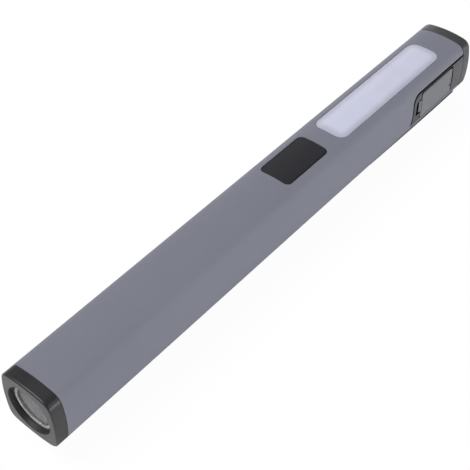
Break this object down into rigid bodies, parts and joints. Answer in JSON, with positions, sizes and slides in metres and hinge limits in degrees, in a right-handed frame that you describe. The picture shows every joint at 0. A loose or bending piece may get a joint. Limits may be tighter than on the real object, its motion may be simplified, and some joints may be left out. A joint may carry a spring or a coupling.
{
  "type": "penlight",
  "caption": "Pocket work light with a spot lamp in the nose, a push button, a strip lamp on one face, a flap over the charging socket and a spring clip.",
  "frame": {"origin": "middle of the light's length, on the body's centre plane, at the level of the pocket clip's outer face, which is the lowest flat of the light", "axes": "+X along the body from the nose with the spot lamp to the tail, +Z out of the face with the button and the strip lamp, -Y out of the side with the charging flap"},
  "size_m": [0.17, 0.017, 0.0203],
  "materials": {
    "housing_grey": "fine soft-touch, blue grey",
    "cap_black": "satin black",
    "cap_grey": "satin dark grey",
    "bezel_grey": "satin dark grey",
    "seal_black": "black",
    "lens_clear": "clear",
    "reflector_bright": "bright mirror coat",
    "phosphor_yellow": "yellow phosphor",
    "board_white": "metal-core board with a white mask",
    "board_green": "green solder mask",
    "sink_aluminium": "turned",
    "lead_red": "red insulation",
    "lead_black": "black insulation",
    "cell_blue": "blue shrink sleeve over the can",
    "nickel": "plain nickel",
    "chassis_dark": "moulded",
    "chip_black": "black moulding",
    "screw_steel": "zinc plated",
    "screw_black": "black oxide",
    "button_black": "matte black",
    "diffuser_milky": "milky, faintly lavender",
    "tray_white": "white",
    "flap_rubber": "soft grey",
    "clip_black": "black spring sheet"
  },
  "bodies": {
    "light": {"housing": "housing_grey", "front_cap": "cap_black", "lens_seal": "seal_black", "front_lens": "lens_clear", "reflector": "reflector_bright", "spot_led": "phosphor_yellow", "led_board": "board_white", "heat_sink": "sink_aluminium", "lamp_leads": "lead_red", "cell_pad": "seal_black", "battery_cell": "cell_blue", "cell_tab": "nickel", "cell_guard_board": "board_green", "cell_leads": "lead_black", "chassis": "chassis_dark", "main_board": "board_green", "board_parts": "chip_black", "board_screws": "screw_steel", "tact_switch": "chip_black", "strip_diffuser": "diffuser_milky", "strip_tray": "tray_white", "strip_board": "board_white", "strip_phosphor": "phosphor_yellow", "strip_leads": "lead_red", "rear_cap": "cap_grey", "port_bezel": "bezel_grey", "flap_strap": "flap_rubber", "usb_socket": "nickel", "usb_tongue": "chip_black", "clip_spacer": "cap_black", "clip_plate": "clip_black", "clip_screws": "screw_black"},
    "button": {"power_button": "button_black"},
    "plunger": {"switch_plunger": "chip_black"},
    "flap": {"port_flap": "flap_rubber"},
    "clip": {"clip_arm": "clip_black"}
  },
  "joints": [
    {"name": "button_press", "type": "slide", "parent": "light", "child": "button", "axis": [0, 0, -1], "range_m": [0, 0.0004], "stiffness_N_per_m": 60, "springref_m": -0.001},
    {"name": "plunger_slide", "type": "slide", "parent": "light", "child": "plunger", "axis": [0, 0, -1], "range_m": [0, 0.0004]},
    {"name": "flap_hinge", "type": "hinge", "parent": "light", "child": "flap", "pos_m": [0.07485, -0.00785, 0.0118], "axis": [0, 0, 1], "range_deg": [0, 100]},
    {"name": "clip_flex", "type": "hinge", "parent": "light", "child": "clip", "pos_m": [0.069, 0, 0.0004], "axis": [0, -1, 0], "range_deg": [0, 4], "stiffness_Nm_per_rad": 0.06, "springref_deg": -11.46}
  ],
  "couplings": [
    {"joint": "plunger_slide", "follows": "button_press", "ratio": 1}
  ]
}
